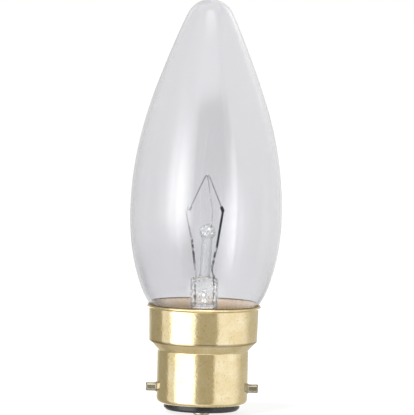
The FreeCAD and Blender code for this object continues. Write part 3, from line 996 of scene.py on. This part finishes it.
studio = {
    "level": 0.63,
    # each panel: azimuth from the camera's side to the right, then elevation, in degrees;
    # how soft its edges are; its brightness. Later panels lie over earlier ones
    "panels": (
        {"turn": (-180, 180), "rise": (31, 90), "soft": (1, 1, 3, 1), "level": 1.3},
        {"turn": (46, 190), "rise": (-13, 54), "soft": (5, 10, 7, 8), "level": 0.9},
        {"turn": (43, 144), "rise": (5, 40), "soft": (5, 16, 12, 6), "level": 1.5},
        {"turn": (-190, -70), "rise": (7, 48), "soft": (8, 15, 11, 6), "level": 1.0},
        {"turn": (-144, 30), "rise": (-43, -13), "soft": (16, 9, 7, 8), "level": 0.0},
        {"turn": (-11, 31), "rise": (-17, 34), "soft": (15, 2, 6, 3), "level": 0.3},
        {"turn": (-77, -20), "rise": (-7, 33), "soft": (14, 2, 3, 3), "level": 1.3},
        {"turn": (-60, -28), "rise": (-9, 18), "soft": (10, 9, 11, 16), "level": 3.7},
        {"turn": (39, 49), "rise": (-23, 18), "soft": (7, 2, 13, 5), "level": 2.3},
        {"turn": (48, 54), "rise": (-24, -2), "soft": (2, 4, 9, 10), "level": 0.1},
        {"turn": (-32, 40), "rise": (-75, -39), "soft": (7, 13, 5, 3), "level": 1.1},
        {"turn": (-25, 33), "rise": (44, 72), "soft": (12, 12, 5, 8), "level": 2.3},
        {"turn": (-180, -150), "rise": (-60, 60), "soft": (1, 8, 10, 10), "level": 0.8},
        # what only the satin metal outside mirrors, so that the glass stays calm beside it
        {"turn": (-200, 200), "rise": (-50, 50), "soft": (1, 1, 12, 12), "level": 0.62, "satin": True},
        {"turn": (-146, -98), "rise": (-50, 50), "soft": (5, 3, 12, 12), "level": 0.41, "satin": True},
        {"turn": (-98, -72), "rise": (-50, 50), "soft": (4, 3, 12, 12), "level": 0.92, "satin": True},
        {"turn": (-72, -20), "rise": (-50, 50), "soft": (4, 8, 12, 12), "level": 2.4, "satin": True},
        {"turn": (-12, 31), "rise": (-50, 50), "soft": (8, 1.5, 12, 12), "level": 0.5, "satin": True},
        {"turn": (31, 104), "rise": (-50, 50), "soft": (1.5, 20, 12, 12), "level": 1.08, "satin": True},
        {"turn": (170, 200), "rise": (-50, 50), "soft": (4, 4, 12, 12), "level": 1.7, "satin": True},
        {"turn": (-200, -166), "rise": (-50, 50), "soft": (4, 4, 12, 12), "level": 1.7, "satin": True},
    ),
    "diffuseLevel": 0.75,
    # the satin metal mirrors the room warmer, fully at the first level and not at all at the second
    "roomTint": "#FFF6D9",
    "roomLevels": (0.35, 1.1),
    # glare that the stem gathers, by how many faces of glass the way has crossed
    "bulbFaces": 4,
    "rodFaces": 6,
    "pressFaces": 8,
    "glareRod": 0.6,
    "glarePress": 4.5,
    "glareBehind": 0.85,
    # straight behind it is calm; the glare comes in between the first two azimuths, and the room's
    # own panels take its place between the second two
    "behindEdge": (172, 148),
    "roomEdge": (115, 100),
}


def litPanels(world, spec, turn, rise, satin):
    level = spec["level"]
    for panel in spec["panels"]:
        left, right = panel["turn"]
        low, high = panel["rise"]
        softLeft, softRight, softLow, softHigh = panel["soft"]
        mask = satin if panel.get("satin") else 1.0
        for angle, edge, soft in ((turn, left, softLeft), (turn, right, -softRight),
                                  (rise, low, softLow), (rise, high, -softHigh)):
            within = addNode(world, "ShaderNodeMapRange", {
                "Value": angle, "From Min": (edge - soft) * degree, "From Max": (edge + soft) * degree},
                interpolation_type="SMOOTHSTEP").outputs[0]
            mask = addNode(world, "ShaderNodeMath", {0: mask, 1: within}, operation="MULTIPLY").outputs[0]
        level = addNode(world, "ShaderNodeMix", {
            "Factor": mask, "A": level, "B": panel["level"]}).outputs[0]
    return level


def seenThroughGlass(world, spec, path, turn, level):
    # the world is plain white from every side, but a way that crosses the stem as well as the bulb
    # gathers some of the lightbox's glare, and the more faces and bubbles it crosses, the more
    faces = path.outputs["Transmission Depth"]
    gathered = addNode(world, "ShaderNodeMapRange", {
        "Value": faces, "From Min": spec["rodFaces"], "From Max": spec["pressFaces"],
        "To Min": spec["glareRod"], "To Max": spec["glarePress"]}).outputs[0]
    aside = addNode(world, "ShaderNodeMath", {0: turn}, operation="ABSOLUTE").outputs[0]
    glare = spec["glareBehind"]
    for nearer, (outer, inner) in ((gathered, spec["behindEdge"]), (level, spec["roomEdge"])):
        share = addNode(world, "ShaderNodeMapRange", {
            "Value": aside, "From Min": outer * degree, "From Max": inner * degree},
            interpolation_type="SMOOTHSTEP").outputs[0]
        glare = addNode(world, "ShaderNodeMix", {"Factor": share, "A": glare, "B": nearer}).outputs[0]
    throughStem = addNode(world, "ShaderNodeMath", {0: faces, 1: spec["bulbFaces"]},
                          operation="GREATER_THAN").outputs[0]
    return addNode(world, "ShaderNodeMix", {"Factor": throughStem, "A": 1.0, "B": glare}).outputs[0]


def makeStudio(spec):
    world = bpy.data.worlds.new("studio")
    bpy.context.scene.world = world
    world.use_nodes = True
    world.node_tree.nodes.clear()
    way = addNode(world, "ShaderNodeTexCoord").outputs["Generated"]
    parts = addNode(world, "ShaderNodeSeparateXYZ", {"Vector": way})
    forward = addNode(world, "ShaderNodeMath", {0: parts.outputs["Y"], 1: -1.0}, operation="MULTIPLY")
    turn = addNode(world, "ShaderNodeMath", {0: parts.outputs["X"], 1: forward.outputs[0]},
                   operation="ARCTAN2").outputs[0]
    rise = addNode(world, "ShaderNodeMath", {0: parts.outputs["Z"]}, operation="ARCSINE").outputs[0]

    # a reflection that is rough, and isn't seen through glass, comes from the satin metal outside
    path = addNode(world, "ShaderNodeLightPath")
    outside = addNode(world, "ShaderNodeMath", {0: path.outputs["Transmission Depth"], 1: 1},
                      operation="LESS_THAN").outputs[0]
    mirrored = addNode(world, "ShaderNodeMath", {0: outside, 1: path.outputs["Is Glossy Ray"]},
                       operation="MULTIPLY").outputs[0]
    satin = addNode(world, "ShaderNodeMath", {0: mirrored, 1: path.outputs["Is Singular Ray"]},
                    operation="SUBTRACT", use_clamp=True).outputs[0]
    level = litPanels(world, spec, turn, rise, satin)

    darkest, lightest = spec["roomLevels"]
    unlit = addNode(world, "ShaderNodeMapRange", {
        "Value": level, "From Min": lightest, "From Max": darkest}).outputs[0]
    tinted = addNode(world, "ShaderNodeMath", {0: satin, 1: unlit}, operation="MULTIPLY").outputs[0]
    colour = addNode(world, "ShaderNodeMix", {
        "Factor": tinted, "A": grey(1), "B": linearColour(spec["roomTint"])},
        data_type="RGBA").outputs["Result"]

    # seen directly or straight through glass, with no reflection on the way
    unturned = addNode(world, "ShaderNodeMath", {0: path.outputs["Glossy Depth"], 1: 1},
                       operation="LESS_THAN").outputs[0]
    looking = addNode(world, "ShaderNodeMath", {
        0: path.outputs["Is Camera Ray"], 1: path.outputs["Is Transmission Ray"]},
        operation="MAXIMUM").outputs[0]
    straight = addNode(world, "ShaderNodeMath", {0: unturned, 1: looking}, operation="MULTIPLY").outputs[0]
    plain = seenThroughGlass(world, spec, path, turn, level)
    level = addNode(world, "ShaderNodeMix", {"Factor": straight, "A": level, "B": plain}).outputs[0]

    scattered = addNode(world, "ShaderNodeMath", {0: path.outputs["Diffuse Depth"], 1: 0},
                        operation="GREATER_THAN").outputs[0]
    level = addNode(world, "ShaderNodeMix", {
        "Factor": scattered, "A": level, "B": spec["diffuseLevel"]}).outputs[0]
    light = addNode(world, "ShaderNodeBackground", {"Color": colour, "Strength": level})
    addNode(world, "ShaderNodeOutputWorld", {"Surface": light.outputs[0]})


makeStudio(studio)
print("studio ready")


# Large soft light from the upper left, only for what scatters light: the cement and the floor

keyLight = {
    "place": Vector((-0.7, -0.9, 1.1)),
    "size": 0.8,
    "power": 36.0,
}


def makeKeyLight(spec):
    bpy.ops.object.light_add(type="AREA", location=spec["place"])
    lamp = bpy.context.object
    lamp.name = "keyLight"
    lamp.rotation_euler = (-spec["place"]).to_track_quat("-Z", "Y").to_euler()
    lamp.data.size = spec["size"]
    lamp.data.energy = spec["power"]
    lamp.visible_glossy = False
    lamp.visible_transmission = False


makeKeyLight(keyLight)
print("key light ready")

print("scene ready")
